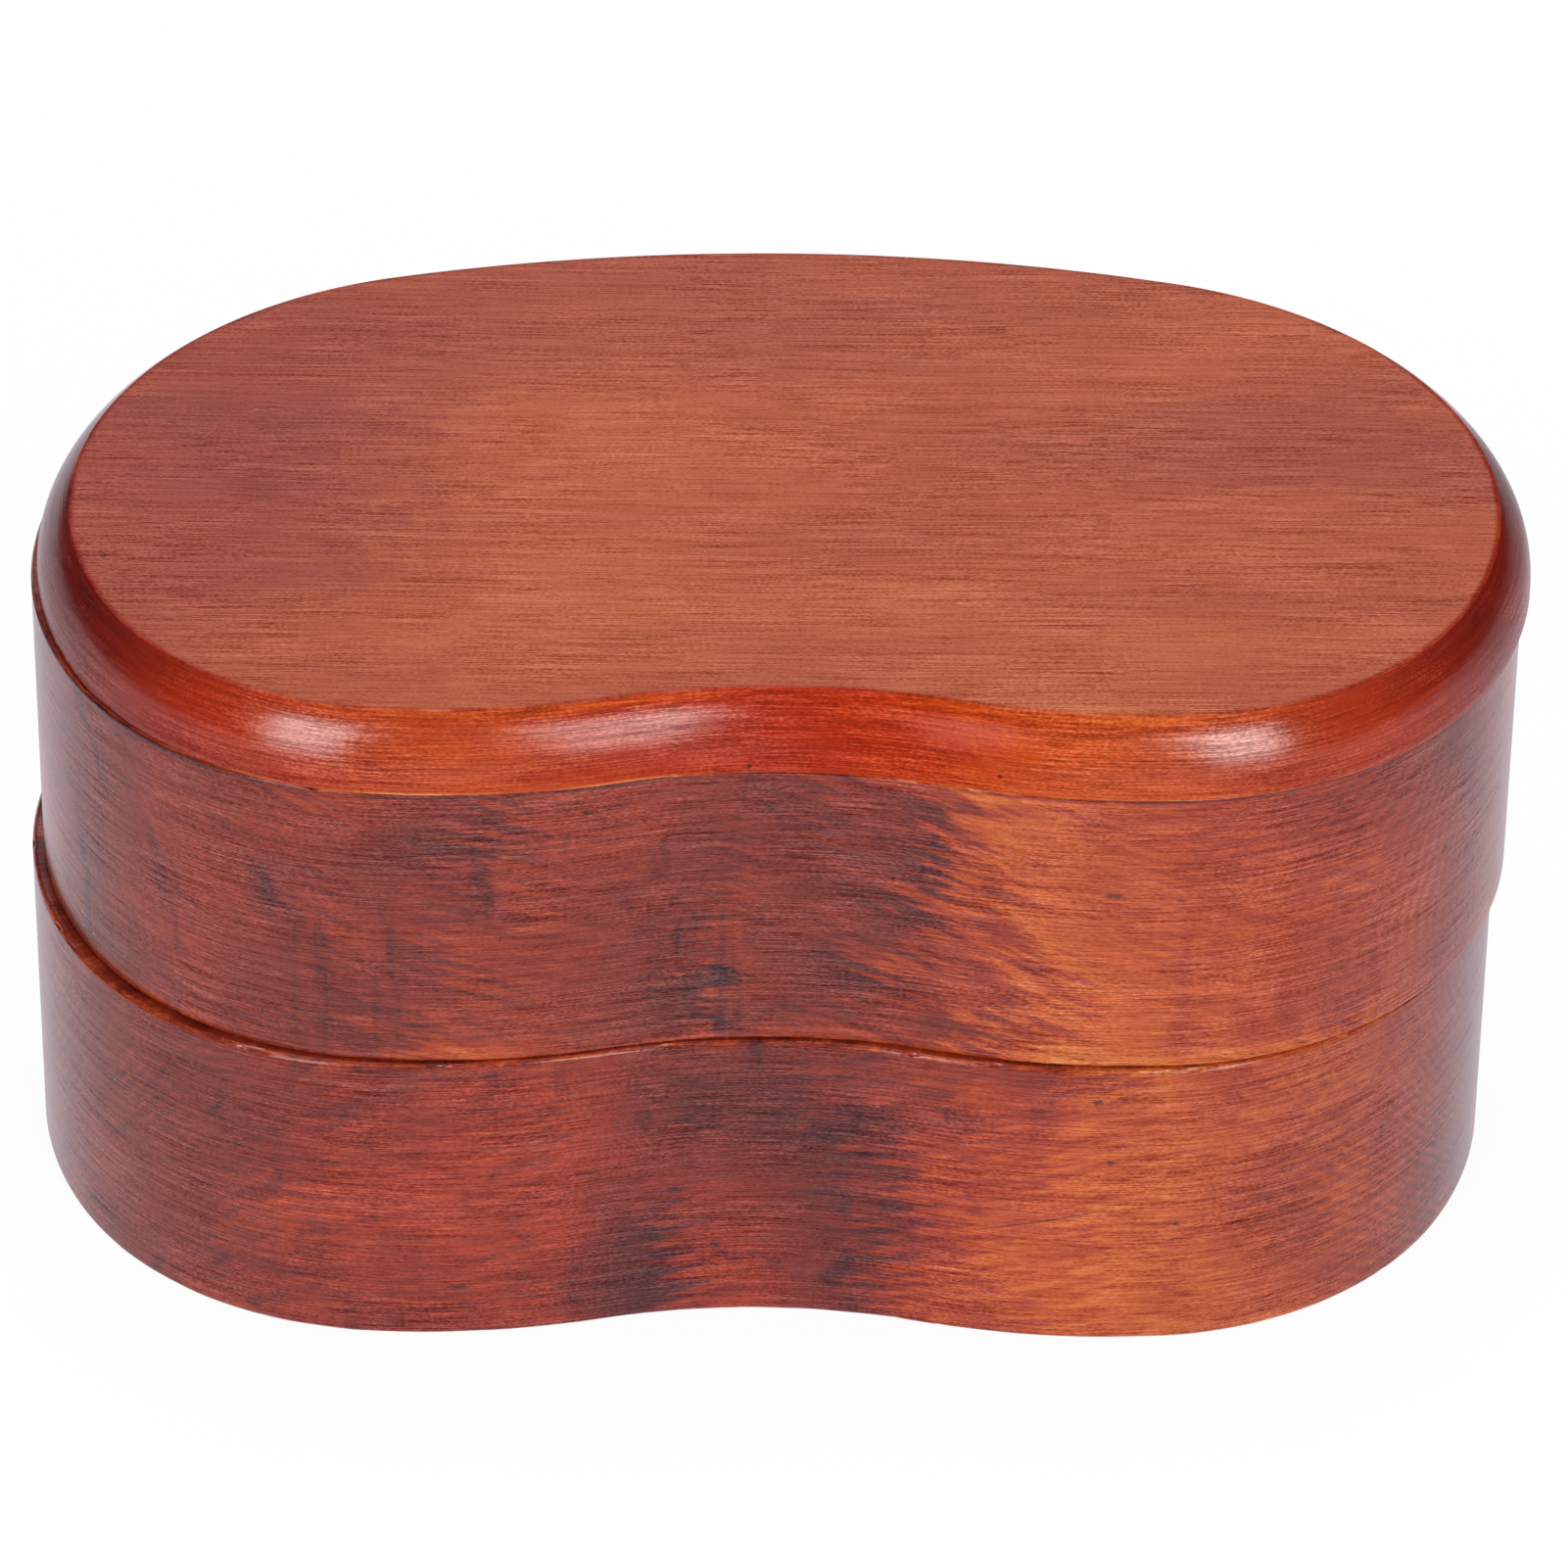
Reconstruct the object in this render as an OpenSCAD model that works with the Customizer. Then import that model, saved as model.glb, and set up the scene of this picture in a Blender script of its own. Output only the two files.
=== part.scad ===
// Two-tier lunch box milled from solid wood, with a kidney-shaped outline.
// A lower tier, an upper tier that nests in it, a divider board and a lid with a rounded edge.

/* [Outline] */
// Length over the two ends
box_l = 175; // [165:1:200]
// Depth from the front lobes to the crest of the back
box_w = 105; // [100:1:112]
// Radius of the rounded ends
end_r = 53; // [48:1:57]
// Radius of the long curve of the back
back_r = 188; // [150:1:260]
// Radius of the flat shoulders beside the dent
shoulder_r = 85; // [70:1:120]
// Radius of the hollow dent in the front
dent_r = 76; // [50:1:120]
// Degrees below the long axis where an end turns into a front lobe
end_turn = 27; // [15:1:40]
// Degrees below the long axis where a front lobe turns into a shoulder
lobe_turn = 85; // [78:1:88]

/* [Walls] */
// Thickness of the side walls of both tiers
wall = 7; // [5:0.5:9]
// Radius of the inner corner between wall and floor
fillet_r = 6; // [3:0.5:9]
// Radius of the eased edges
ease_r = 0.8; // [0.4:0.1:1.5]

/* [Lower tier] */
// Height of the lower tier from its base to its rim
lower_h = 40; // [30:0.5:60]
// Thickness of the lower floor
lower_floor = 7; // [4:0.5:10]

/* [Upper tier] */
// Height of the upper tier from its seat to its rim
upper_h = 38.3; // [30:0.1:60]
// Thickness of the upper floor above its seat
upper_floor = 3.5; // [2:0.5:8]
// Depth of the foot that nests in the lower tier
foot_h = 4; // [2:0.5:7]

/* [Lid] */
// Height of the lid from its seat to its flat top
lid_h = 9.2; // [7:0.1:10.5]
// Height of the upright band under the rounded edge
lid_band = 1.2; // [1:0.1:2]
// Radius of the rounded edge, which meets the flat top at a crisp line
lid_round = 10; // [10:0.5:14]
// Depth of the plug that closes the upper tier
plug_h = 4; // [2:0.5:7]

/* [Divider] */
// Thickness of the divider board
divider_t = 4; // [3:0.5:6]
// Depth of the groove that holds the board in the two walls
groove_d = 2.5; // [1:0.5:3.5]
// Depth of the groove across the floor
floor_groove = 1; // [0.5:0.5:1.5]

/* [Fits] */
// Clearance all round the foot and the plug
nest_gap = 1.8; // [1:0.1:2.5]
// Clearance round the divider board, and under the plug above it
board_gap = 0.5; // [0.3:0.1:1]
// Share of its play by which the upper tier has slid over
upper_slide = 0.8; // [0:0.05:0.8]
// Direction of that slide in degrees from the right-hand end
upper_heading = 25; // [0:5:360]
// Share of its play by which the lid has slid over on the upper tier
lid_slide = 0.55; // [0:0.05:0.8]
// Direction of that slide in degrees from the right-hand end
lid_heading = 325; // [0:5:360]

/* [Hidden] */
$fn = 240;

wood = [0.62, 0.27, 0.17];
pale_wood = [0.72, 0.38, 0.22];

// How far cutters and cutting prisms reach past what they cut
over = 2;
// Inner limit of the wall's section, and how far each swept section reaches inwards past it
flat_in = wall + nest_gap + fillet_r;
deep = flat_in + 8;

upper_z = lower_h;
lid_z = lower_h + upper_h;
foot_in = wall + nest_gap;
upper_at = upper_slide * nest_gap * polar(upper_heading);
lid_at = upper_at + lid_slide * nest_gap * polar(lid_heading);

function polar(angle) = [cos(angle), sin(angle)];
function heading(v) = atan2(v.y, v.x);
function flip(p) = [-p.x, p.y];

// The lobes' radius makes up the depth that the other arcs leave
end_x = box_l / 2 - end_r;
back_drop = back_r - sqrt(pow(back_r - end_r, 2) - pow(end_x, 2));
lobe_r = (box_w - back_drop - shoulder_r * (1 - sin(lobe_turn)) - end_r * sin(end_turn))
    / (sin(lobe_turn) - sin(end_turn));

// Centres of the arcs on the right, each tangent to the one before it
end_c = [end_x, box_w / 2 - back_drop];
lobe_c = end_c + (end_r - lobe_r) * polar(-end_turn);
shoulder_c = lobe_c - (shoulder_r - lobe_r) * polar(-lobe_turn);
dent_c = [0, shoulder_c.y - sqrt(pow(shoulder_r + dent_r, 2) - pow(shoulder_c.x, 2))];
back_c = [0, box_w / 2 - back_r];
dent_turn = heading(shoulder_c - dent_c);
back_turn = heading(end_c - back_c);

// Each arc: centre, radius, first and last heading, and 1 where it bulges or -1 where it hollows
right_arcs = [
    [shoulder_c, shoulder_r, dent_turn - 180, -lobe_turn, 1],
    [lobe_c, lobe_r, -lobe_turn, -end_turn, 1],
    [end_c, end_r, -end_turn, back_turn, 1]
];
left_arcs = [for (i = [2:-1:0]) let (a = right_arcs[i]) [flip(a[0]), a[1], 180 - a[3], 180 - a[2], 1]];
dent_arc = [dent_c, dent_r, 180 - dent_turn, dent_turn, -1];
back_arc = [back_c, back_r, back_turn, 180 - back_turn, 1];
arcs = concat([dent_arc], right_arcs, [back_arc], left_arcs);

// Inner faces of the walls on the centre line, where the groove runs
dent_inside = dent_c.y + dent_r + wall;
back_inside = box_w / 2 - wall;

// A point on an arc, moved outwards by off
function on_arc(a, angle, off) = a[0] + (a[1] + a[4] * off) * polar(angle);

// The wedge that an arc's stretch of the outline lies in; neighbours share an edge
function wedge(a) =
    let (reach = (a[1] + a[4] * over) / cos((a[3] - a[2]) / 2))
    concat(
        [on_arc(a, a[2], -deep - over), on_arc(a, a[2], over)],
        a[4] > 0 ? [a[0] + reach * polar((a[2] + a[3]) / 2)] : [],
        [on_arc(a, a[3], over), on_arc(a, a[3], -deep - over)]
    );

// Whole and part millimetres are placed one after the other, so that tangent arcs meet exactly
module place(p) {
    whole = [for (c = p) floor(c)];
    translate(whole) translate(p - whole) children();
}

// Sweeps a section round the outline: its x runs outwards from the outline and its y is up
module sweep(low, high) {
    for (a = arcs)
        intersection() {
            place([a[0].x, a[0].y, 0])
                rotate_extrude()
                    place([a[1], 0])
                        scale([a[4], 1])
                            children();
            translate([0, 0, low - over])
                linear_extrude(high - low + 2 * over)
                    polygon(wedge(a));
        }
}

// A slab that fills the middle of the outline, inside the swept section
module middle(low, high) {
    inner = [for (a = arcs) for (t = [0, 1 / 3, 2 / 3]) on_arc(a, a[2] + t * (a[3] - a[2]), -flat_in - over)];
    translate([0, 0, low])
        linear_extrude(high - low)
            polygon(inner);
}

// Cutter that eases the corner at p, turned so that the wood lies up and to the right of it
module ease(p, turn) {
    translate(p)
        rotate(turn)
            difference() {
                translate([-over, -over])
                    square(ease_r + over);
                translate([ease_r, ease_r])
                    circle(ease_r, $fn = 48);
            }
}

// Fills the inner corner between a wall and a floor
module corner_fill(floor_top) {
    difference() {
        translate([-wall - fillet_r, floor_top / 2])
            square([fillet_r + wall / 2, fillet_r + floor_top / 2]);
        translate([-wall - fillet_r, floor_top + fillet_r])
            circle(fillet_r, $fn = 96);
    }
}

// Section of a tier: wall, floor, filleted corner and eased rim
module tier_section(height, floor_top) {
    difference() {
        union() {
            translate([-wall, 0])
                square([wall, height]);
            translate([-deep, 0])
                square([deep, floor_top]);
            corner_fill(floor_top);
        }
        ease([0, 0], 90);
        ease([0, height], 180);
        ease([-wall, height], 270);
    }
}

// Section of the step that nests in the mouth below: the upper tier's foot or the lid's plug
module nest_section(height, joined) {
    difference() {
        translate([-deep, -height])
            square([deep - foot_in, height + joined]);
        ease([-foot_in, -height], 90);
    }
}

// Section of the lid: upright band, rounded edge cut off by the flat top, eased lower edge
module lid_section() {
    difference() {
        union() {
            translate([-deep, 0])
                square([deep, lid_band]);
            intersection() {
                translate([-deep, lid_band])
                    square([deep + over, lid_h - lid_band]);
                union() {
                    translate([-lid_round, lid_band])
                        circle(lid_round, $fn = 128);
                    translate([-deep, lid_band])
                        square([deep - lid_round, lid_h]);
                }
            }
        }
        ease([0, 0], 90);
    }
}

// The groove that the divider board drops into: down both walls and across the floor
module groove() {
    width = divider_t + 2 * board_gap;
    translate([-width / 2, dent_inside - groove_d, upper_floor - floor_groove])
        cube([width, back_inside - dent_inside + 2 * groove_d, upper_h]);
}

module lower_tier() {
    color(wood) {
        sweep(0, lower_h)
            tier_section(lower_h, lower_floor);
        middle(0, lower_floor);
    }
}

module upper_tier() {
    color(wood)
        translate([upper_at.x, upper_at.y, upper_z])
            difference() {
                union() {
                    sweep(-foot_h, upper_h)
                        union() {
                            tier_section(upper_h, upper_floor);
                            nest_section(foot_h, upper_floor / 2);
                        }
                    middle(-foot_h, upper_floor);
                }
                groove();
            }
}

module divider() {
    length = back_inside - dent_inside + 2 * groove_d - 2 * board_gap;
    height = upper_h - upper_floor + floor_groove - plug_h - board_gap;
    color(pale_wood)
        translate([upper_at.x, upper_at.y, upper_z + upper_floor - floor_groove])
            translate([0, back_inside + groove_d - board_gap, 0])
                rotate([90, 0, 0])
                    linear_extrude(length)
                        difference() {
                            translate([-divider_t / 2, 0])
                                square([divider_t, height]);
                            ease([divider_t / 2, height], 180);
                            ease([-divider_t / 2, height], 270);
                        }
}

module lid() {
    color(wood)
        translate([lid_at.x, lid_at.y, lid_z]) {
            sweep(-plug_h, lid_h)
                union() {
                    lid_section();
                    nest_section(plug_h, lid_band / 2);
                }
            middle(-plug_h, lid_h);
        }
}

lower_tier();
upper_tier();
divider();
lid();
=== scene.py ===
import bpy
import bmesh
from types import SimpleNamespace
from math import sin, cos, sqrt, atan2, radians, pi
from mathutils import Vector, Matrix, noise


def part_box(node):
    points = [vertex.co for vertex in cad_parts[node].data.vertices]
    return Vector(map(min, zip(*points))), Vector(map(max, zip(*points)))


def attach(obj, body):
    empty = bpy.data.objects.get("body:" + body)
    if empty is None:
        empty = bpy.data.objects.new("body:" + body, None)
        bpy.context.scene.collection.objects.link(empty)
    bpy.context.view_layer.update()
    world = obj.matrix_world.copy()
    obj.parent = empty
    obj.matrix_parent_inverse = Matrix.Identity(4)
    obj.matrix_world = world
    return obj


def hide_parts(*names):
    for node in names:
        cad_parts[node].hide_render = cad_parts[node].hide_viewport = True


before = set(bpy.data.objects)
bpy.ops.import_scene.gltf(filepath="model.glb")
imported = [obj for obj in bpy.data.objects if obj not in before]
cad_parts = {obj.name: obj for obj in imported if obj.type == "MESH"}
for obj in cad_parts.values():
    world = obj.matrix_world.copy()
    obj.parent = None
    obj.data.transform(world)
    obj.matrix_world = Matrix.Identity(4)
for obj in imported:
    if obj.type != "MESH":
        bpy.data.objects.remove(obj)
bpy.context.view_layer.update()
scene = bpy.context.scene
scene.view_settings.view_transform = "Standard"
mm = 0.001
print("frame loaded:", ", ".join(sorted(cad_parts)))


# Kidney outline, shared by both tiers and the lid

kidney = {
    "length": 175, "depth": 105,
    "endRadius": 53, "backRadius": 188, "shoulderRadius": 85, "dentRadius": 76,
    "endTurn": radians(27), "lobeTurn": radians(85),
    "step": 0.6,                          # mm between neighbouring points
}
vertexValues = ("edgeWear", "inside", "rounded", "wall")          # kept on every vertex, from 0 to 1


def heading(a):
    return Vector((cos(a), sin(a), 0))


def kidneyArcs():
    k = kidney
    endX = k["length"] / 2 - k["endRadius"]
    backDrop = k["backRadius"] - sqrt((k["backRadius"] - k["endRadius"]) ** 2 - endX ** 2)
    lobeRadius = (k["depth"] - backDrop - k["shoulderRadius"] * (1 - sin(k["lobeTurn"]))
                  - k["endRadius"] * sin(k["endTurn"])) / (sin(k["lobeTurn"]) - sin(k["endTurn"]))
    end = Vector((endX, k["depth"] / 2 - backDrop, 0))
    lobe = end + (k["endRadius"] - lobeRadius) * heading(-k["endTurn"])
    shoulder = lobe - (k["shoulderRadius"] - lobeRadius) * heading(-k["lobeTurn"])
    reach = k["shoulderRadius"] + k["dentRadius"]
    dent = Vector((0, shoulder.y - sqrt(reach ** 2 - shoulder.x ** 2), 0))
    back = Vector((0, k["depth"] / 2 - k["backRadius"], 0))
    dentTurn = atan2(shoulder.y - dent.y, shoulder.x - dent.x)
    backTurn = atan2(end.y - back.y, end.x - back.x)
    right = [(shoulder, k["shoulderRadius"], dentTurn - pi, -k["lobeTurn"], 1),
             (lobe, lobeRadius, -k["lobeTurn"], -k["endTurn"], 1),
             (end, k["endRadius"], -k["endTurn"], backTurn, 1)]
    left = [(Vector((-c.x, c.y, 0)), r, pi - b, pi - a, 1) for c, r, a, b, s in reversed(right)]
    return ([(dent, k["dentRadius"], pi - dentTurn, dentTurn, -1)] + right
            + [(back, k["backRadius"], backTurn, pi - backTurn, 1)] + left)


def kidneyLoop(bm, at):
    foot = bm.verts.layers.float_vector.new("foot")      # point of the outline under each vertex
    out = bm.verts.layers.float_vector.new("out")        # outward direction there
    arcs = kidneyArcs()
    centre, radius, first, last, bulge = arcs[0]
    tip = bm.verts.new(centre + radius * heading(first))
    for centre, radius, first, last, bulge in arcs:      # one vertex is spun along each arc in turn
        before = set(bm.verts) - {tip}
        steps = max(4, round(radius * abs(last - first) / kidney["step"]))
        spun = bmesh.ops.spin(bm, geom=[tip], cent=centre, axis=(0, 0, 1), angle=last - first, steps=steps)
        for v in bm.verts:
            if v not in before:
                v[out] = bulge * (v.co - centre) / radius
        tip = [g for g in spun["geom_last"] if isinstance(g, bmesh.types.BMVert)][0]
    bmesh.ops.remove_doubles(bm, verts=bm.verts, dist=0.001)
    bm.edges.ensure_lookup_table()
    wrap = bm.verts.layers.float_vector.new("wrap")      # the outline rolled out on a circle of the same length
    length = sum(e.calc_length() for e in bm.edges)
    gone, v, e = 0.0, bm.edges[0].verts[0], bm.edges[0]
    for _ in range(len(bm.edges)):
        v[wrap] = length / (2 * pi) * heading(2 * pi * gone / length)
        gone += e.calc_length()
        v = e.other_vert(v)
        e = [other for other in v.link_edges if other != e][0]
    for v in bm.verts:
        v[foot] = v.co + Vector(at)
    return list(bm.edges)


def arcPoints(out, up, radius, start, stop, steps, wear=0.0):
    pts = []
    for i in range(steps + 1):
        a = radians(start + (stop - start) * i / steps)
        pts.append((out + radius * cos(a), up + radius * sin(a), wear * sin(pi * i / steps)))
    return pts


def sweepSection(bm, loop, section, rowValues):
    # carries the outline's loop along the section; rowValues tells the vertex values of a row
    foot = bm.verts.layers.float_vector["foot"]
    out = bm.verts.layers.float_vector["out"]
    layers = {name: bm.verts.layers.float.new(name) for name in vertexValues}
    verts = list({v for e in loop for v in e.verts})
    for i, (o, z, w) in enumerate(section):
        if i:
            made = bmesh.ops.extrude_edge_only(bm, edges=loop)["geom"]
            loop = [g for g in made if isinstance(g, bmesh.types.BMEdge)]
            verts = [g for g in made if isinstance(g, bmesh.types.BMVert)]
        else:
            bmesh.ops.contextual_create(bm, geom=loop)
        values = rowValues(o, z, w)
        for v in verts:
            v.co = v[foot] + v[out] * o + Vector((0, 0, z))
            for name, value in zip(vertexValues, values):
                v[layers[name]] = value
    loop = [e for e in loop if e.is_valid]
    bmesh.ops.contextual_create(bm, geom=loop)


def nickEdges(bm, edges):
    # softens worn edges unevenly, with a few small nicks
    wear = bm.verts.layers.float["edgeWear"]
    softScale, nickScale, nickFrom = 0.16, 0.55, 0.42     # noise per mm, and the level where a nick starts
    bm.normal_update()
    for v in bm.verts:
        if v[wear] > 0.02:
            p = v.co + Vector(edges["seed"])
            soft = edges["soft"] * (0.5 + 0.5 * noise.noise(p * softScale))
            nick = max(0.0, noise.noise(p * nickScale) - nickFrom) * edges["nick"]
            v.co -= v.normal * v[wear] * (soft + nick)


def toObject(bm, name):
    mesh = bpy.data.meshes.new(name)
    bm.to_mesh(mesh)
    bm.free()
    thing = bpy.data.objects.new(name, mesh)
    scene.collection.objects.link(thing)
    return thing


def boxMesh(size, centre):
    bm = bmesh.new()
    bmesh.ops.create_cube(bm, size=1)
    bmesh.ops.scale(bm, vec=size, verts=bm.verts)
    bmesh.ops.translate(bm, vec=centre, verts=bm.verts)
    return bm


def finishMesh(bm, name, sharpAngle=38):
    bmesh.ops.recalc_face_normals(bm, faces=bm.faces)
    for f in bm.faces:
        f.smooth = True
    for e in bm.edges:
        if len(e.link_faces) == 2 and e.calc_face_angle(0) > radians(sharpAngle):
            e.smooth = False
    bmesh.ops.scale(bm, vec=(mm, mm, mm), verts=bm.verts)
    return toObject(bm, name)


def dress(piece, body, node, material):
    piece.data.materials.append(material)
    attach(piece, body)
    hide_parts(node)
    print("piece", piece.name, len(piece.data.polygons), "faces")


# Node helpers

def put(tree, kind, sockets=None, **settings):
    n = tree.nodes.new("ShaderNode" + kind)
    for key, value in settings.items():
        setattr(n, key, value)
    for key, value in (sockets or {}).items():
        if isinstance(value, bpy.types.NodeSocket):
            tree.links.new(value, n.inputs[key])
        else:
            n.inputs[key].default_value = value
    return n


def freshTree(owner):
    owner.use_nodes = True
    owner.node_tree.nodes.clear()
    return owner.node_tree


def calc(tree, op, a, b=0.0, c=0.0, clamp=False):
    return put(tree, "Math", {0: a, 1: b, 2: c}, operation=op, use_clamp=clamp).outputs[0]


def vec(tree, op, a, b=(0, 0, 0)):
    n = put(tree, "VectorMath", {0: a, 1: b}, operation=op)
    return n.outputs["Value"] if op == "LENGTH" else n.outputs["Vector"]


def cloud(tree, at, scale, detail=2.0, rough=0.5):
    return put(tree, "TexNoise", {"Vector": at, "Scale": scale, "Detail": detail, "Roughness": rough}).outputs["Fac"]


def remap(tree, value, low, high, toLow=0.0, toHigh=1.0, kind="SMOOTHSTEP"):
    return put(tree, "MapRange", {"Value": value, "From Min": low, "From Max": high, "To Min": toLow,
                                  "To Max": toHigh}, interpolation_type=kind).outputs[0]


def blend(tree, fac, a, b, kind="MIX"):
    return put(tree, "Mix", {0: fac, 6: a, 7: b}, data_type="RGBA", blend_type=kind).outputs[2]


def signed(tree, value, spread):
    # a noise value, spread out to run from -1 to 1
    return remap(tree, value, 0.5 - spread, 0.5 + spread, -1.0, 1.0)


def ramp(tree, fac, stops):
    n = put(tree, "ValToRGB", {"Fac": fac})
    bar = n.color_ramp.elements
    while len(bar) < len(stops):
        bar.new(0.5)
    for e, (at, colour) in zip(bar, stops):
        e.position = at
        e.color = (*colour, 1)
    return n.outputs["Color"]


def linear(r, g, b):
    return tuple(c / 255 / 12.92 if c <= 10 else ((c / 255 + 0.055) / 1.055) ** 2.4 for c in (r, g, b))


# Stained, lacquered wood

woodTones = [                             # from heavily stained to bare
    (0.00, linear(46, 12, 16)),
    (0.20, linear(82, 24, 20)),
    (0.40, linear(120, 37, 20)),
    (0.55, linear(148, 51, 21)),
    (0.70, linear(174, 76, 26)),
    (0.85, linear(193, 104, 42)),
    (1.00, linear(216, 146, 86)),
]
lineDark = (*linear(58, 16, 27), 1)
linePale = (*linear(214, 128, 92), 1)
markDark = (*linear(44, 15, 14), 1)
redder = (1.06, 0.60, 0.50, 1)


def kept(t, name, kind="Fac"):
    # a value kept on the vertices of the mesh
    return put(t, "Attribute", attribute_name=name).outputs[kind]


def within(t, at, place, size, tilt=0):
    # distance from a place, where 1 is the surface of a tilted ellipsoid
    local = put(t, "Mapping", {"Vector": at, "Location": place, "Rotation": (0, radians(tilt), 0), "Scale": size},
                vector_type="TEXTURE").outputs[0]
    return vec(t, "LENGTH", local)


def jitter(t, at, scale, detail, rough, reach):
    # a shift by up to half the reach, either way on each axis
    way = put(t, "TexNoise", {"Vector": at, "Scale": scale, "Detail": detail, "Roughness": rough}).outputs["Color"]
    return vec(t, "MULTIPLY", vec(t, "SUBTRACT", way, (0.5, 0.5, 0.5)), reach)


def woodSpace(t, look):
    # places in millimetres, the way a face looks, and the values kept on the mesh
    w = SimpleNamespace(look=look)
    w.at = put(t, "Mapping", {"Vector": put(t, "TexCoord").outputs["Object"], "Scale": (1 / mm, 1 / mm, 1 / mm),
                              "Rotation": (0, 0, radians(look["turn"]))}).outputs[0]
    w.seeded = vec(t, "ADD", w.at, look["seed"])
    w.along, w.across, w.height = (put(t, "SeparateXYZ", {0: w.at}).outputs[k] for k in "XYZ")
    w.drift = jitter(t, w.seeded, 0.02, 1.0, 0.5, (0, look["wander"], look["wander"]))
    w.grainAt = vec(t, "ADD", w.seeded, w.drift)          # the grain wanders a little across the length
    facing = put(t, "SeparateXYZ", {0: put(t, "NewGeometry").outputs["Normal"]}).outputs
    w.facingUp = facing["Z"]
    w.endGrain = remap(t, calc(t, "ABSOLUTE", facing["Y" if look["turn"] else "X"]), 0.25, 0.95)
    w.wall, w.rounded, w.edgeWear, w.inside = (kept(t, n) for n in ("wall", "rounded", "edgeWear", "inside"))
    w.outX = put(t, "SeparateXYZ", {0: kept(t, "out", "Vector")}).outputs["X"]
    return w


def grainLines(t, at, shorten):
    # three sizes of dash along a squeezed space, added up with short fibres
    broad = signed(t, cloud(t, at, 1.6, 1.0, 0.5), 0.17)
    thin = signed(t, cloud(t, at, 6.5, 0.0), 0.2)
    hair = signed(t, cloud(t, vec(t, "MULTIPLY", at, (1.5, 1.5, 1)), 10.5, 0.0), 0.2)
    fibre = signed(t, cloud(t, vec(t, "MULTIPLY", at, shorten), 6.0, 0.0), 0.2)
    total = calc(t, "MULTIPLY", hair, 0.27)
    for part, share in ((thin, 0.42), (broad, 0.15), (fibre, 0.34)):
        total = calc(t, "MULTIPLY_ADD", part, share, total)
    return total


def woodLines(t, w):
    squeeze = w.look["squeeze"]
    lines = grainLines(t, vec(t, "MULTIPLY", w.grainAt, (squeeze, 1, 1)), (0.35 / squeeze, 1, 1))
    lines = calc(t, "MULTIPLY", lines, calc(t, "MULTIPLY_ADD", w.wall, -0.7, 1.0))
    lines = calc(t, "MULTIPLY", lines, calc(t, "MULTIPLY_ADD", w.endGrain, -0.6, 1.0))
    around = vec(t, "MULTIPLY", kept(t, "wrap", "Vector"), (0.016, 0.016, 0))
    around = vec(t, "ADD", around, put(t, "CombineXYZ", {"Z": w.height}).outputs[0])
    sanded = grainLines(t, vec(t, "ADD", around, w.look["seed"]), (20, 20, 1))  # sanding lines run round the wall
    clearer = remap(t, calc(t, "ABSOLUTE", w.outX), 0.2, 0.65, 0.45, -0.4)
    clearer = calc(t, "MULTIPLY", w.rounded, clearer)     # clear on the front of the rounded edge, faint at its ends
    sanded = calc(t, "MULTIPLY", sanded, calc(t, "ADD", clearer, 1.0))
    lines = calc(t, "MULTIPLY_ADD", sanded, calc(t, "MULTIPLY", w.wall, 0.9), lines)
    patchy = remap(t, cloud(t, vec(t, "MULTIPLY", w.seeded, (0.5, 1, 1)), 0.16, 2.0, 0.6), 0.3, 0.7, 0.6, 1.3)
    return calc(t, "MULTIPLY", lines, patchy)             # clearer in some places than in others


def growthRings(t, w):
    # distance from the pith, and the rings that it makes
    look = w.look
    wave = cloud(t, vec(t, "MULTIPLY", w.seeded, (1, 1.6, 1.6)), 0.09, 2.0)
    fromPith = vec(t, "SUBTRACT", vec(t, "MULTIPLY", w.at, (0, 1, 1)), (0, *look["pith"]))
    radius = calc(t, "MULTIPLY_ADD", wave, look["ringWave"], vec(t, "LENGTH", vec(t, "ADD", fromPith, w.drift)))
    ring = calc(t, "SINE", calc(t, "MULTIPLY", radius, 2 * pi / look["ringStep"]))
    ring = calc(t, "MULTIPLY", ring, remap(t, cloud(t, w.seeded, 0.05, 2.0), 0.35, 0.65, 0.0, 1.2))
    ring = calc(t, "MULTIPLY", ring, calc(t, "MULTIPLY_ADD", w.endGrain, look["endRings"], look["rings"]))
    return radius, calc(t, "MULTIPLY", ring, remap(t, w.along, -60, -20, look["ringsLeft"], 1.0))


def stainStreaks(t, w):
    # the stain ran in slanted streaks
    slanted = put(t, "Mapping", {"Vector": w.grainAt, "Rotation": (0, radians(w.look["slant"]), 0)}).outputs[0]
    streak = signed(t, cloud(t, vec(t, "MULTIPLY", slanted, (0.13, 0.3, 1)), 1.05, 2.0, 0.6), 0.2)
    return calc(t, "MULTIPLY", streak, calc(t, "MULTIPLY_ADD", w.endGrain, -0.8, 1.0))


def cutterMarks(t, w):
    # passes of the cutter in the hollow, level on the walls and lengthwise on the floor
    level = put(t, "Mix", {0: remap(t, w.facingUp, 0.4, 0.9), 2: w.height, 3: w.across}).outputs[0]
    passes = calc(t, "MULTIPLY_ADD", cloud(t, w.seeded, 0.08, 2.0), 3.0, level)
    milled = calc(t, "SINE", calc(t, "MULTIPLY", passes, 2 * pi / w.look["toolStep"]))
    faded = remap(t, cloud(t, vec(t, "MULTIPLY", w.seeded, (0.3, 1, 1)), 0.12, 2.0), 0.35, 0.65, 0.25, 1.0)
    return calc(t, "MULTIPLY", calc(t, "MULTIPLY", milled, faded), w.inside)


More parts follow.
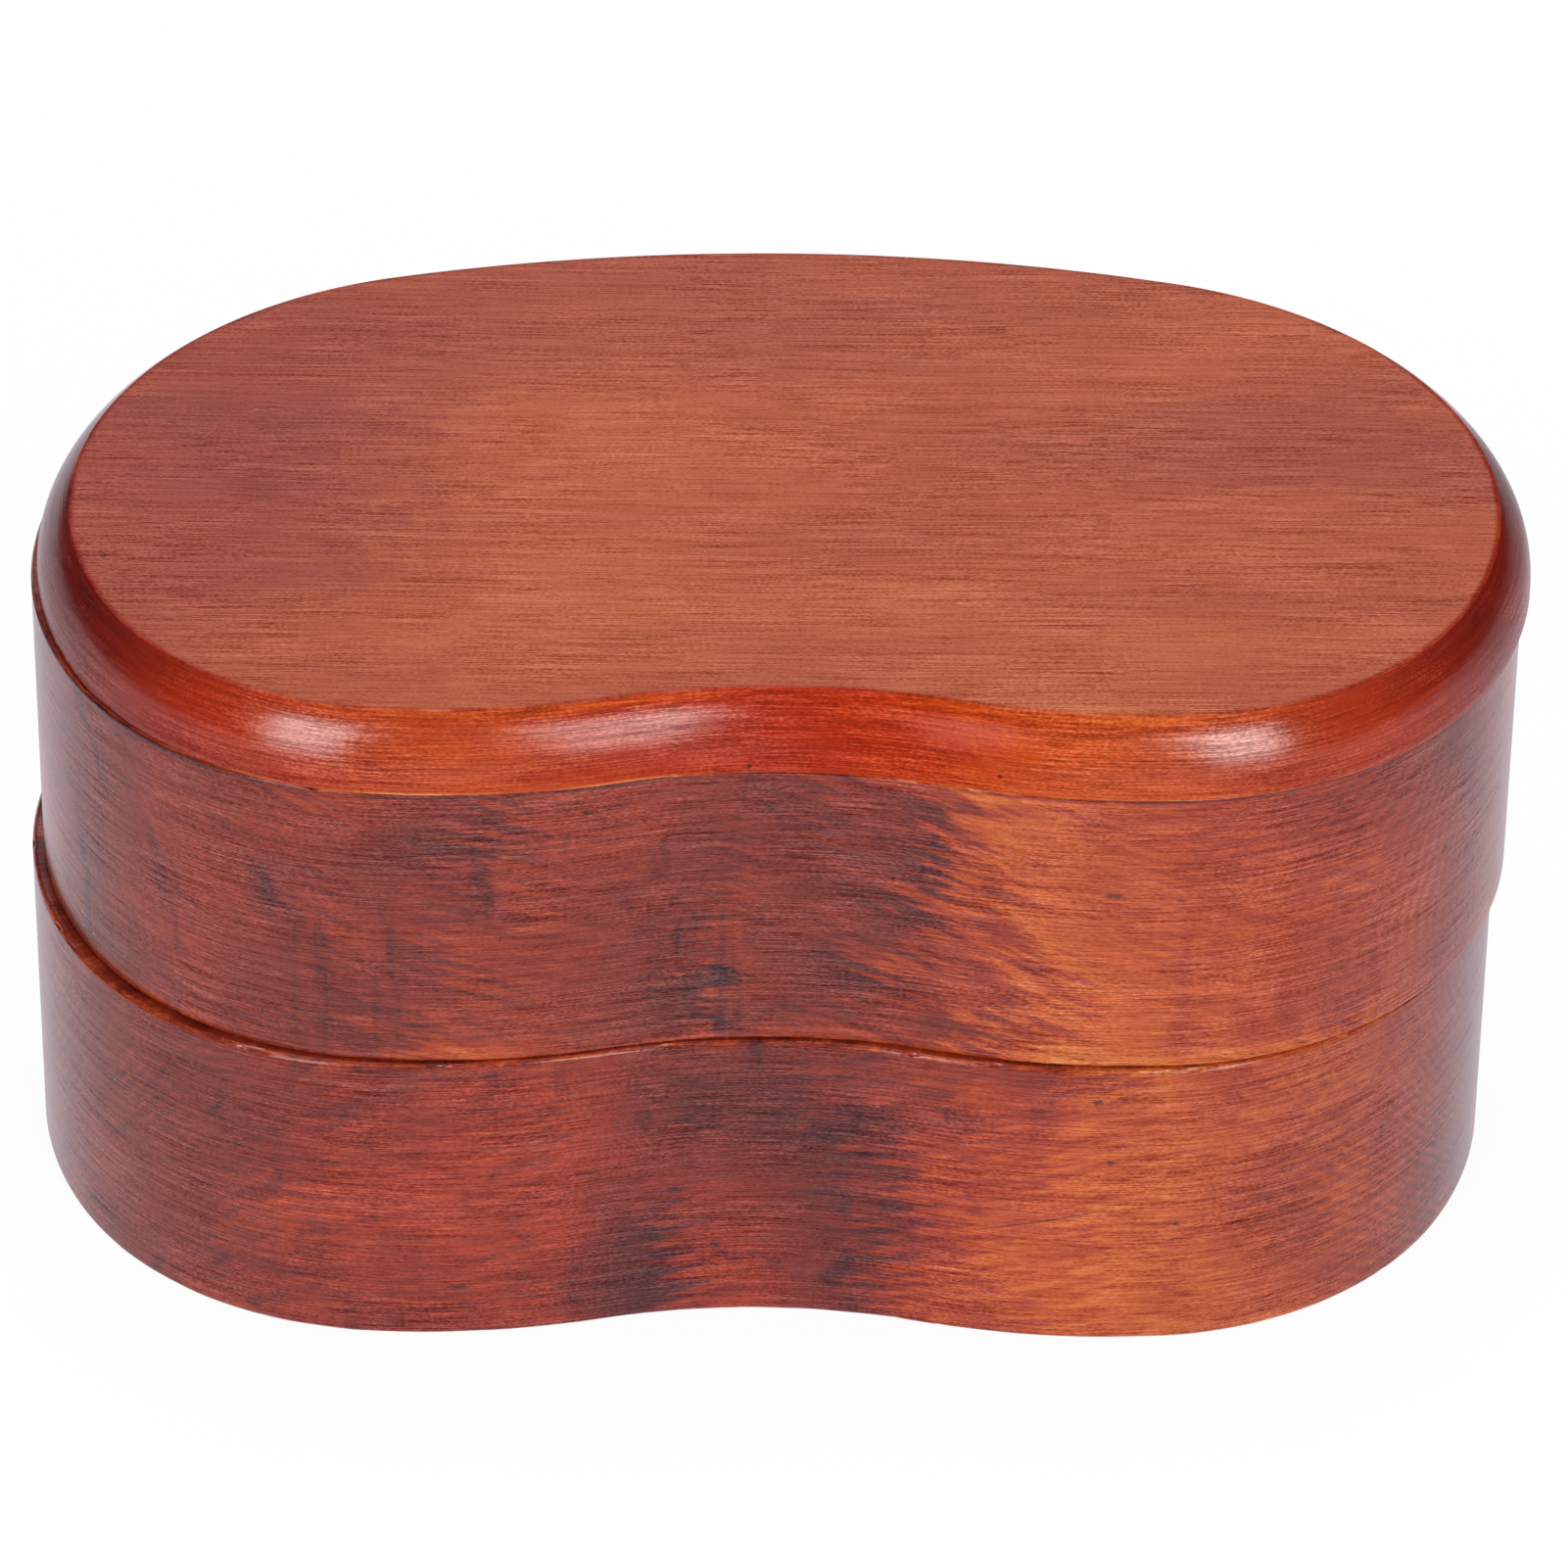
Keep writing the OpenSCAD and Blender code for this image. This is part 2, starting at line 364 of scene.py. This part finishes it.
def stainLevel(t, w, lines, milled):
    # how bare the wood is, from 0 to 1, with some painted shadow and painted sheen in it, and the ragged space of
    # its clouds
    look = w.look
    radius, ring = growthRings(t, w)
    streak = stainStreaks(t, w)
    puffed = vec(t, "ADD", w.at, jitter(t, w.seeded, 0.2, 3.0, 0.6, (5, 5, 5)))
    feather = put(t, "CombineXYZ", {"X": calc(t, "MULTIPLY", streak, look["feather"])}).outputs[0]
    puffed = vec(t, "ADD", puffed, feather)               # ragged edges of the stain clouds
    clouds = cloud(t, vec(t, "MULTIPLY", vec(t, "ADD", puffed, look["seed"]), look["cloudSpan"]), 0.05, 3.0, 0.55)
    stain = calc(t, "MULTIPLY_ADD", signed(t, clouds, 0.22), look["blotch"], look["tone"])
    smokeAt = {"X": w.along, "Y": calc(t, "MULTIPLY", radius, 1.5), "Z": look["seed"][1]}
    smoke = cloud(t, put(t, "CombineXYZ", smokeAt).outputs[0], 0.17, 3.0, 0.6)
    smoke = remap(t, smoke, 0.56, 0.74, 0.0, look["smoke"])         # small dark clouds, fewer to the right
    stain = calc(t, "MULTIPLY_ADD", smoke, remap(t, w.along, 10, 36, 1.0, 0.3), stain)
    stain = calc(t, "MULTIPLY_ADD", milled, 0.012, calc(t, "MULTIPLY_ADD", w.inside, look["insideTone"], stain))
    for place, size, tilt, amount in look["spots"]:       # stain taken up more or less in places; two spots on the lid's rounded edge are painted sheen
        stain = calc(t, "ADD", stain, remap(t, within(t, puffed, place, size, tilt), 0.1, 1.0, amount, 0.0))
    stain = calc(t, "MULTIPLY_ADD", streak, look["streak"], calc(t, "ADD", stain, ring))
    stain = calc(t, "MULTIPLY_ADD", w.endGrain, look["endTone"], stain)
    for first, full, amount in look["roundEnds"]:         # the rounded edge is darker towards its ends, most near its top
        dark = calc(t, "MULTIPLY", remap(t, w.outX, first, full), remap(t, w.rounded, 0.1, 0.9, 0.3, 1.0))
        stain = calc(t, "MULTIPLY_ADD", calc(t, "MULTIPLY", dark, w.wall), amount, stain)
    stain = calc(t, "MULTIPLY_ADD", w.wall, look["roundTone"], stain)
    uneven = remap(t, cloud(t, w.seeded, 0.05, 2.0), 0.38, 0.62, 0.35, 1.15)
    for start, end, amount, middle, half in look["bands"]:          # paler or darker along a level; the dark strips under the lid's edge are painted shadow
        aside = calc(t, "ABSOLUTE", calc(t, "SUBTRACT", w.along, middle))
        stretch = calc(t, "MULTIPLY", uneven, remap(t, aside, half, half - 8))
        stain = calc(t, "MULTIPLY_ADD", remap(t, w.height, start, end, 0.0, amount), stretch, stain)
    worn = calc(t, "MULTIPLY", w.edgeWear, remap(t, cloud(t, w.seeded, 0.35, 2.0, 0.6), 0.35, 0.65))
    stain = calc(t, "MULTIPLY_ADD", worn, look["edgePale"], stain)
    return calc(t, "MULTIPLY_ADD", lines, look["lines"], stain), puffed


def woodColour(t, w, lines, milled):
    look = w.look
    stain, puffed = stainLevel(t, w, lines, milled)
    colour = ramp(t, stain, woodTones)
    red = 0.0
    for place, size, tilt, amount in look["reds"]:        # places where the stain took redder
        red = calc(t, "ADD", remap(t, within(t, puffed, place, size, tilt), 0.3, 1.0, amount, 0.0), red, clamp=True)
    if look["reds"]:
        colour = blend(t, calc(t, "MULTIPLY", red, w.wall), colour, redder, "MULTIPLY")
    colour = blend(t, remap(t, lines, -0.1, -0.75, 0.0, look["darkLines"]), colour, lineDark)
    colour = blend(t, remap(t, lines, 0.3, 0.9, 0.0, look["paleLines"]), colour, linePale)
    return blend(t, 1.0, colour, calc(t, "MULTIPLY_ADD", lines, look["shade"], 1.0), "MULTIPLY")


def openPores(t, w):
    pore = put(t, "TexVoronoi", {"Vector": vec(t, "MULTIPLY", w.grainAt, (0.3, 1, 1)), "Scale": 0.30}, feature="F1")
    chance = put(t, "SeparateColor", {0: pore.outputs["Color"]}).outputs[0]
    return calc(t, "LESS_THAN", pore.outputs["Distance"], remap(t, chance, 0.7, 1.0, 0.0, 0.05, "LINEAR"))


def lacquer(t, w, lines):
    # roughness, gloss and coat; the lid's rounded edge has the thickest lacquer
    look = w.look
    rough = calc(t, "MULTIPLY_ADD", w.inside, 0.12, calc(t, "MULTIPLY_ADD", lines, 0.04, look["rough"]))
    rough = calc(t, "MULTIPLY_ADD", w.rounded, -look["roundGloss"], rough)
    gloss = calc(t, "MAXIMUM", calc(t, "MULTIPLY_ADD", lines, look["glint"], 0.5), 0.05)    # grooves shine less
    if not look["roundCoat"]:
        return rough, gloss, look["coat"]
    clear = 1.0
    for place, size, tilt, left in look["dull"]:          # where the lacquer of the rounded edge is rubbed
        rubbed = remap(t, within(t, w.at, place, size, tilt), 0.2, 1.0, 1.0 - left, 0.0)
        clear = calc(t, "MULTIPLY", calc(t, "SUBTRACT", 1.0, calc(t, "MULTIPLY", rubbed, w.wall)), clear)
    low = calc(t, "MULTIPLY", w.wall, calc(t, "SUBTRACT", 1.0, w.rounded))
    gloss = calc(t, "MULTIPLY", gloss, calc(t, "MULTIPLY_ADD", low, -look["lowDull"], 1.0))
    coat = calc(t, "MULTIPLY", calc(t, "MULTIPLY", w.rounded, look["roundCoat"]), clear)
    return rough, calc(t, "MULTIPLY", gloss, clear), calc(t, "ADD", coat, look["coat"])


def stainedWood(name, look):
    material = bpy.data.materials.new(name)
    t = freshTree(material)
    w = woodSpace(t, look)
    lines, milled, pores = woodLines(t, w), cutterMarks(t, w), openPores(t, w)
    colour = blend(t, calc(t, "MULTIPLY", pores, 0.7), woodColour(t, w, lines, milled), markDark)
    ragged = cloud(t, w.seeded, 1.6, 2.0)
    for place, size, tilt in look["marks"]:               # knots, ticks and cracks
        away = calc(t, "MULTIPLY_ADD", ragged, 1.1, within(t, w.at, place, size, tilt))
        colour = blend(t, remap(t, away, 0.7, 1.5, 0.75, 0.0), colour, markDark)
    relief = calc(t, "MULTIPLY_ADD", milled, 1.2, calc(t, "MULTIPLY_ADD", pores, -2.0, lines))
    bump = put(t, "Bump", {"Strength": look["bump"], "Distance": look["relief"], "Height": relief}).outputs[0]
    rough, gloss, coat = lacquer(t, w, lines)
    shader = put(t, "BsdfPrincipled", {"Base Color": colour, "Roughness": rough, "Normal": bump, "IOR": 1.44,
                                       "Specular IOR Level": gloss, "Coat Weight": coat,
                                       "Coat Roughness": look["coatRough"]})
    t.links.new(shader.outputs[0], put(t, "OutputMaterial").inputs[0])
    return material


plainWood = {
    "seed": (0, 0, 0), "turn": 0, "squeeze": 0.03, "wander": 7,
    "lines": 0.045, "darkLines": 0.22, "paleLines": 0.06, "shade": 0.24, "glint": 0.5,
    "bump": 0.10, "relief": 0.00006,
    "pith": (12, 20), "ringStep": 1.3, "ringWave": 2.2, "rings": 0.024, "endRings": 0.034, "ringsLeft": 1.0,
    "slant": -20, "streak": 0.07, "feather": 4.5,
    "tone": 0.47, "blotch": 0.11, "cloudSpan": (1, 0.8, 0.7), "smoke": -0.2,
    "endTone": -0.03, "insideTone": 0.03, "edgePale": 0.25, "toolStep": 1.7,
    "rough": 0.23, "coat": 0.12, "coatRough": 0.26,
    "roundTone": 0.0, "roundEnds": [], "roundGloss": 0.0, "roundCoat": 0.0, "lowDull": 0.0,
    "bands": [],                          # from level, to level, amount, middle and half of the stretch
    "spots": [], "reds": [],              # place, size, tilt, amount
    "marks": [],                          # place, size, tilt
    "dull": [],                           # place, size, tilt, share of the lacquer left
}


# Tiers

innerEase = 0.8                           # mm, eased edges inside and under a piece
outerSkin = 2.5                           # mm, how far in the outer wall's look reaches over an edge
lowerTier = {
    "height": 40, "floor": 7, "wall": 7, "fillet": 6, "base": 0.6, "rim": 0.5, "foot": 0, "at": (0, 0, 0),
    "edges": {"seed": (3, 5, 7), "soft": 0.16, "nick": 1.2},
    "look": dict(
        plainWood, seed=(311, 47, 90), pith=(14, 56), tone=0.425, slant=10, feather=3.0,
        bands=[(4, 0.5, 0.06, 0, 100)],
        spots=[
            ((-15, -49, 8), (8, 30, 20), -6, -0.26), ((-13, -49, 25), (9, 30, 16), 0, -0.09),
            ((9.5, -48, 12), (10, 30, 26), 4, -0.21), ((3, -48, 31), (27, 30, 14), 0, -0.12),
            ((35, -52, 16), (24, 30, 40), 0, 0.17), ((42, -52, 4), (26, 30, 16), 0, 0.07),
            ((60, -47, 22), (40, 30, 44), 0, 0.20), ((-72, -40, 20), (24, 30, 40), 0, -0.04),
            ((28, 52, 20), (34, 30, 44), 0, 0.14), ((-34, 52, 16), (22, 30, 36), 0, -0.06),
            ((-74, 26, 20), (26, 34, 40), 0, 0.10)],
        reds=[((-34, -52, 18), (34, 30, 40), 0, 0.45), ((4, -48, 14), (24, 30, 40), 0, 0.4),
              ((30, -51, 14), (22, 30, 40), 0, 0.25)],
        marks=[
            ((-5.4, -47.6, 10.2), (1.2, 3, 1.0), 0), ((-35.5, -52.4, 7.2), (1.8, 3, 0.45), 0),
            ((38.9, -52.5, 35.4), (0.9, 3, 0.7), 0), ((40.7, -52.5, 26.5), (0.8, 3, 0.6), 20),
            ((48.7, -52, 17.2), (0.7, 3, 0.5), 0), ((56.1, -50.5, 16.6), (2.4, 4, 0.16), -14),
            ((73.1, -40.6, 21.9), (0.5, 4, 0.8), 0), ((-70.1, -43.2, 31.8), (0.7, 4, 0.7), 0),
            ((33, -52, 17.6), (13, 4, 0.2), -15), ((-46.8, -52.2, 39.4), (1.0, 3, 0.6), 0)]),
}
upperTier = {
    "height": 38.3, "floor": 3.5, "wall": 7, "fillet": 6, "base": 0.5, "rim": 0.35, "foot": 4, "inset": 8.8,
    "at": (1.305, 0.609, 40),
    "groove": {"width": 5, "depth": 2.5, "floor": 1},
    "edges": {"seed": (41, 15, 27), "soft": 0.16, "nick": 1.0},
    "look": dict(
        plainWood, seed=(97, 211, 31), pith=(16, 46), tone=0.425, slant=-17, ringsLeft=0.35,
        bands=[
            # the two dark strips from 77.2 mm up are painted shadow under the lid's edge
            (44, 40.5, 0.16, 0, 100), (77.2, 77.8, -0.26, -55, 45), (77.4, 77.9, -0.22, 56, 36),
            (76.0, 77.2, 0.12, 26, 18), (78.0, 78.25, 0.32, 0, 100)],
        spots=[
            ((-8, -47, 60), (38, 30, 40), 0, -0.08), ((-34, -51, 60), (28, 30, 40), 0, -0.06),
            ((-9, -47.5, 47), (4, 30, 7), 20, -0.20), ((-1, -47, 44), (5, 30, 2.5), 0, -0.10),
            ((8.5, -47, 51), (8, 30, 6), 0, -0.11),
            ((13, -48, 62), (6, 30, 3), 15, -0.14), ((17, -48.5, 59), (6.5, 30, 3), 25, -0.14),
            ((16, -48.5, 67.5), (7, 30, 6), 35, -0.13), ((17, -49, 74), (7.5, 30, 3), 15, -0.12),
            ((-9, -47.5, 64), (6, 30, 14), 30, -0.06), ((-16.7, -49, 62.5), (6, 30, 3), 0, -0.08),
            ((-38, -52, 71), (12, 30, 7), 0, -0.11), ((-39.5, -52, 63), (8, 30, 6), 0, -0.09),
            ((-37, -52, 52), (8, 30, 9), 0, -0.10), ((38, -51.5, 60), (27, 30, 50), -12, 0.235),
            ((62, -47, 56), (34, 30, 38), 0, 0.18), ((-72, -40, 58), (24, 30, 40), 0, -0.05),
            ((-32, 52, 60), (32, 30, 44), 10, 0.15), ((34, 52, 56), (20, 30, 36), -15, -0.06),
            ((74, 26, 60), (26, 34, 40), 0, 0.10)],
        reds=[((62, -47, 60), (30, 30, 40), 0, 0.15)],
        marks=[
            ((40.2, -51.9, 64.7), (1.8, 3, 0.7), 0), ((-57.8, -48.9, 45.1), (0.16, 4, 1.0), 0),
            ((-30.2, -51.5, 57.5), (0.18, 4, 0.9), 15), ((-20.1, -49.8, 74.4), (1.0, 3, 0.6), 0),
            ((-15.3, -48.7, 60.1), (0.9, 3, 0.6), 0), ((0.8, -46.8, 73.1), (0.6, 3, 0.6), 0),
            ((47.7, -51.7, 64), (0.8, 3, 0.4), 0), ((79, -34.8, 59.6), (0.8, 4, 0.8), 0),
            ((82.4, -29.6, 67.9), (0.7, 3, 0.8), 0), ((-74.2, -37.6, 76), (0.9, 3, 0.8), 0)]),
}


def tierSection(tier):
    h, floor, wall, fillet, base, rim = (tier[k] for k in ("height", "floor", "wall", "fillet", "base", "rim"))
    deep = wall + fillet + 3
    if tier["foot"]:
        inset, drop = tier["inset"], tier["foot"]
        rows = [(-deep, -drop, 0), (-inset - 2 * innerEase, -drop, 0)]
        rows += arcPoints(-inset - innerEase, -drop + innerEase, innerEase, -90, 0, 4, 0.5)
        rows += [(-inset, -innerEase / 2, 0), (-inset, 0, 0), (-inset + innerEase / 2, 0, 0), (-2 * base, 0, 0)]
    else:
        rows = [(-deep, 0, 0), (-2 * base, 0, 0)]
    rows += arcPoints(-base, base, base, -90, 0, 6, 1)
    low, high = 2 * base, h - 2 * rim
    rows += [(0, low + (high - low) * i / 8, 0) for i in range(9)]
    rows += arcPoints(-rim, h - rim, rim, 0, 90, 6, 1)
    rows += [(-2 * rim, h, 0), (-wall + 2 * innerEase, h, 0)]
    rows += arcPoints(-wall + innerEase, h - innerEase, innerEase, 90, 180, 6, 0.7)
    rows += [(-wall, h - 2 * innerEase, 0), (-wall, floor + fillet + 0.6, 0)]
    rows += arcPoints(-wall - fillet, floor + fillet, fillet, 0, -90, 9)
    rows += [(-deep, floor, 0)]
    return rows


def buildTier(name, tier):
    bm = bmesh.new()
    loop = kidneyLoop(bm, tier["at"])

    def rowValues(o, z, w):
        inside = z >= tier["floor"] - 0.01 and o <= -tier["wall"] + 0.01
        return w, float(inside), 0.0, float(o > -outerSkin)

    sweepSection(bm, loop, tierSection(tier), rowValues)
    bmesh.ops.recalc_face_normals(bm, faces=bm.faces)
    nickEdges(bm, tier["edges"])
    return finishMesh(bm, name)


def cutGroove(piece, tier):
    g = tier["groove"]
    arcs = kidneyArcs()
    dentInside = arcs[0][0].y + arcs[0][1] + tier["wall"]
    backInside = kidney["depth"] / 2 - tier["wall"]
    x, y, z = tier["at"]
    size = (g["width"], backInside - dentInside + 2 * g["depth"], tier["height"])
    centre = (x, y + (backInside + dentInside) / 2, z + tier["floor"] - g["floor"] + size[2] / 2)
    cutter = toObject(boxMesh([s * mm for s in size], [c * mm for c in centre]), "grooveCutter")
    cut = piece.modifiers.new("groove", "BOOLEAN")
    cut.operation, cut.solver, cut.object = "DIFFERENCE", "EXACT", cutter
    graph = bpy.context.evaluated_depsgraph_get()
    carved = bpy.data.meshes.new_from_object(piece.evaluated_get(graph))
    piece.modifiers.clear()
    piece.data = carved
    bpy.data.objects.remove(cutter)


lowerPiece = buildTier("lowerTierWood", lowerTier)
dress(lowerPiece, "lower_tier", "lower_tier", stainedWood("lowerTierStain", lowerTier["look"]))
upperPiece = buildTier("upperTierWood", upperTier)
cutGroove(upperPiece, upperTier)
dress(upperPiece, "upper_tier", "upper_tier", stainedWood("upperTierStain", upperTier["look"]))


# Lid

lid = {
    "height": 9.2, "band": 1.2, "round": 10, "base": 0.35, "plug": 4, "inset": 8.8, "crisp": 0.24, "deep": 17,
    "edgeWidth": 4.2,                     # mm, how far in the rounded edge reaches
    "at": (2.116, 0.041, 78.3),
    "edges": {"seed": (81, 33, 12), "soft": 0.10, "nick": 0.8},
    "look": dict(
        plainWood, seed=(523, 29, 160), pith=(-30, 10), tone=0.68, blotch=0.06, cloudSpan=(0.35, 1, 1),
        squeeze=0.012, wander=2, rings=0.0, smoke=-0.03, streak=0.0,
        lines=0.04, shade=0.25, darkLines=0.14, paleLines=0.09, bump=0.16,
        roundTone=-0.095, roundEnds=[(-0.45, -0.9, -0.205), (0.38, 0.9, -0.22)],
        rough=0.29, coat=0.02, coatRough=0.2, roundGloss=0.13, roundCoat=0.98, lowDull=0.55,
        bands=[
            (79.0, 78.6, 0.28, -36, 34), (79.0, 78.6, 0.14, 46, 36),
            (86.5, 87.1, 0.13, -28, 28), (87.40, 87.46, -0.13, -28, 28),        # worn strip at the crisp line
            (86.5, 87.1, 0.11, 36, 25), (87.40, 87.46, -0.11, 36, 25)],
        spots=[
            ((-66, 0, 88), (48, 70, 40), 0, -0.17), ((4, -46, 83), (34, 14, 14), 0, -0.04),
            ((10, -32, 88), (70, 24, 20), 0, 0.04), ((0, 50, 88), (90, 30, 30), 0, -0.05),
            ((76, 0, 88), (40, 70, 40), 0, -0.06), ((36, -52, 84), (18, 10, 20), 0, 0.04),
            ((-36, -52, 84), (16, 10, 20), 0, 0.03), ((-62, -46, 79), (24, 18, 5), 0, -0.08),
            # the last two, paler spots on the rounded edge beside its outer highlights, are painted sheen
            ((67, -42, 82.5), (18, 14, 5), 0, 0.08), ((-69, -41, 82.5), (16, 14, 5), 0, 0.06)],
        reds=[((0, -46, 83), (90, 20, 24), 0, 0.5), ((4, -46, 83), (34, 16, 16), 0, 0.5),
              ((-80, -22, 82), (48, 60, 20), 0, 0.9), ((82, -20, 82), (40, 55, 20), 0, 0.8)],
        marks=[
            ((-1.8, -47.5, 79.3), (0.5, 3, 0.9), 0), ((26.5, -51, 80.7), (0.5, 3, 0.4), 0),
            ((-60.2, -17.9, 87.5), (0.5, 0.5, 3), 0), ((-49.4, -30.1, 87.5), (0.5, 0.4, 3), 0),
            ((-76.6, -18, 87.5), (0.6, 0.6, 3), 0)],
        dull=[((17, -49, 83), (25, 14, 12), 0, 0.15), ((-20, -50, 83), (15, 14, 12), 0, 0.6),
              ((87, -6, 87), (20, 64, 10), 0, 0.12), ((-83, -6, 87), (20, 64, 9), 0, 0.4)]),
}


def lidSection():
    e, r, band, h, inset, drop = (lid[k] for k in ("base", "round", "band", "height", "inset", "plug"))
    slope = atan2(h - band, sqrt(r ** 2 - (h - band) ** 2))       # where the rounded edge meets the flat top
    top = -r + r * cos(slope)
    rows = [(-lid["deep"], -drop, 0), (-inset - 2 * innerEase, -drop, 0)]
    rows += arcPoints(-inset - innerEase, -drop + innerEase, innerEase, -90, 0, 4, 0.5)
    rows += [(-inset, -innerEase / 2, 0), (-inset, 0, 0), (-inset + innerEase / 2, 0, 0), (-2 * e, 0, 0)]
    rows += arcPoints(-e, e, e, -90, 0, 5, 1)
    rows += arcPoints(-r, band, r, 1, slope * 180 / pi - 0.9, 22)
    rows += arcPoints(top - lid["crisp"] / 3, h - lid["crisp"], lid["crisp"], 53.2, 90, 4, 1)
    rows += [(top - 0.7, h, 0), (-lid["deep"], h, 0)]
    return rows


def buildLid():
    bm = bmesh.new()
    loop = kidneyLoop(bm, lid["at"])
    h, band = lid["height"], lid["band"]

    def rowValues(o, z, w):
        edge = o > -lid["edgeWidth"]
        rounded = min(1.0, max(0.0, (z - band) / (h - band))) if edge and z < h - 0.05 else 0.0
        return w, 0.0, rounded, float(edge and z > 0)

    sweepSection(bm, loop, lidSection(), rowValues)
    bmesh.ops.recalc_face_normals(bm, faces=bm.faces)
    nickEdges(bm, lid["edges"])
    return finishMesh(bm, "lidWood")


dress(buildLid(), "lid", "lid", stainedWood("lidStain", lid["look"]))


# Divider board

board = {
    "ease": 0.8,
    "look": dict(plainWood, seed=(17, 602, 71), turn=90, squeeze=0.02, pith=(-90, 30), tone=0.62, blotch=0.05,
                 smoke=-0.05, streak=0.03, slant=0, edgePale=0.1),
}


def buildBoard():
    low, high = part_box("divider")
    bm = boxMesh([(b - a) / mm for a, b in zip(low, high)], [(a + b) / 2 / mm for a, b in zip(low, high)])
    top = [e for e in bm.edges if all(v.co.z > high.z / mm - 0.1 for v in e.verts)
           and abs(e.verts[0].co.y - e.verts[1].co.y) > 1]
    bmesh.ops.bevel(bm, geom=top, offset=board["ease"], offset_type="OFFSET", segments=5, profile=0.5,
                    affect="EDGES", material=-1)
    for name in vertexValues:             # all nought on the board
        bm.verts.layers.float.new(name)
    bm.verts.layers.float_vector.new("wrap")
    return finishMesh(bm, "dividerBoard", 25)


dress(buildBoard(), "divider", "divider", stainedWood("dividerStain", board["look"]))


# Studio: pale floor, two soft boxes in front, one overhead, camera at the photograph's angle

studio = {
    "fill": 0.06, "backdrop": 0.85, "tint": (0.95, 0.91, 1.0),
    "boxes": [                             # name, place, width, height, watts
        ("softBoxLeft", (-0.75, -1.25, 0.66), 0.6, 1.2, 12.8),
        ("softBoxRight", (0.65, -1.35, 0.72), 0.6, 1.2, 15.2),
        ("softBoxTop", (0.0, 0.25, 1.5), 1.2, 0.9, 13.5),
    ],
    "aim": (0, 0, 0.05),
    "floorHalf": 4, "floorDrop": 0.0003, "floorWhite": 0.95, "floorGlow": 0.95,
}
shot = {"place": (-2.896, -857.19, 658.79), "yaw": radians(0.357), "down": radians(35.7), "roll": radians(0.672),
        "focal": 8963.98, "frame": 1601, "sensor": 36}          # focal length and frame in pixels


def addFloor():
    bm = bmesh.new()
    bmesh.ops.create_grid(bm, x_segments=1, y_segments=1, size=studio["floorHalf"])
    bmesh.ops.translate(bm, vec=(0, 0, -studio["floorDrop"]), verts=bm.verts)
    floor = toObject(bm, "floor")
    material = bpy.data.materials.new("floorPaper")
    t = freshTree(material)
    white = studio["floorWhite"]
    paper = put(t, "BsdfDiffuse", {"Color": (white, white, white, 1)}).outputs[0]
    path = put(t, "LightPath").outputs
    shade = blend(t, path["Is Camera Ray"], (*studio["tint"], 1), (1, 1, 1, 1))
    glow = put(t, "Emission", {"Color": shade, "Strength": 1.0}).outputs[0]
    seen = calc(t, "MAXIMUM", path["Is Glossy Ray"], path["Is Transmission Ray"])
    seen = calc(t, "MAXIMUM", path["Is Camera Ray"], seen)
    mixed = put(t, "MixShader", {0: calc(t, "MULTIPLY", seen, studio["floorGlow"]), 1: paper, 2: glow}).outputs[0]
    t.links.new(mixed, put(t, "OutputMaterial").inputs[0])
    floor.data.materials.append(material)


def addWorld():
    world = bpy.data.worlds.new("studioRoom")
    scene.world = world
    t = freshTree(world)
    way = put(t, "SeparateXYZ", {0: put(t, "TexCoord").outputs["Generated"]}).outputs
    behind = calc(t, "MULTIPLY", remap(t, way["Y"], 0.3, 0.6), remap(t, calc(t, "ABSOLUTE", way["X"]), 0.38, 0.2))
    behind = calc(t, "MULTIPLY", behind, remap(t, way["Z"], 0.9, 0.75))
    level = calc(t, "MULTIPLY_ADD", behind, studio["backdrop"] - studio["fill"], studio["fill"])
    path = put(t, "LightPath").outputs
    level = calc(t, "MAXIMUM", level, path["Is Camera Ray"])
    colour = blend(t, path["Is Camera Ray"], (*studio["tint"], 1), (1, 1, 1, 1))
    sky = put(t, "Background", {"Color": colour, "Strength": level}).outputs[0]
    t.links.new(sky, put(t, "OutputWorld").inputs[0])


def addLamps():
    for name, place, width, height, watts in studio["boxes"]:
        data = bpy.data.lights.new(name, "AREA")
        data.shape, data.size, data.size_y, data.energy = "RECTANGLE", width, height, watts
        lamp = bpy.data.objects.new(name, data)
        scene.collection.objects.link(lamp)
        lamp.location = place
        toAim = Vector(studio["aim"]) - Vector(place)
        lamp.rotation_euler = toAim.to_track_quat("-Z", "Y").to_euler()
        lamp.visible_camera = False


def addCamera():
    data = bpy.data.cameras.new("shot")
    data.lens = shot["focal"] / shot["frame"] * shot["sensor"]
    data.sensor_width, data.sensor_fit = shot["sensor"], "HORIZONTAL"
    data.clip_start, data.clip_end = 0.01, 50
    yaw, down, roll = shot["yaw"], shot["down"], shot["roll"]
    ahead = Vector((sin(yaw) * cos(down), cos(yaw) * cos(down), -sin(down)))
    right = Vector((cos(yaw), -sin(yaw), 0))
    up = right.cross(ahead)
    right, up = cos(roll) * right + sin(roll) * up, cos(roll) * up - sin(roll) * right
    camera = bpy.data.objects.new("shot", data)
    scene.collection.objects.link(camera)
    turn = Matrix((right, up, -ahead)).transposed().to_4x4()
    camera.matrix_world = Matrix.Translation(Vector(shot["place"]) * mm) @ turn
    scene.camera = camera


addFloor()
addWorld()
addLamps()
addCamera()
print("studio ready")
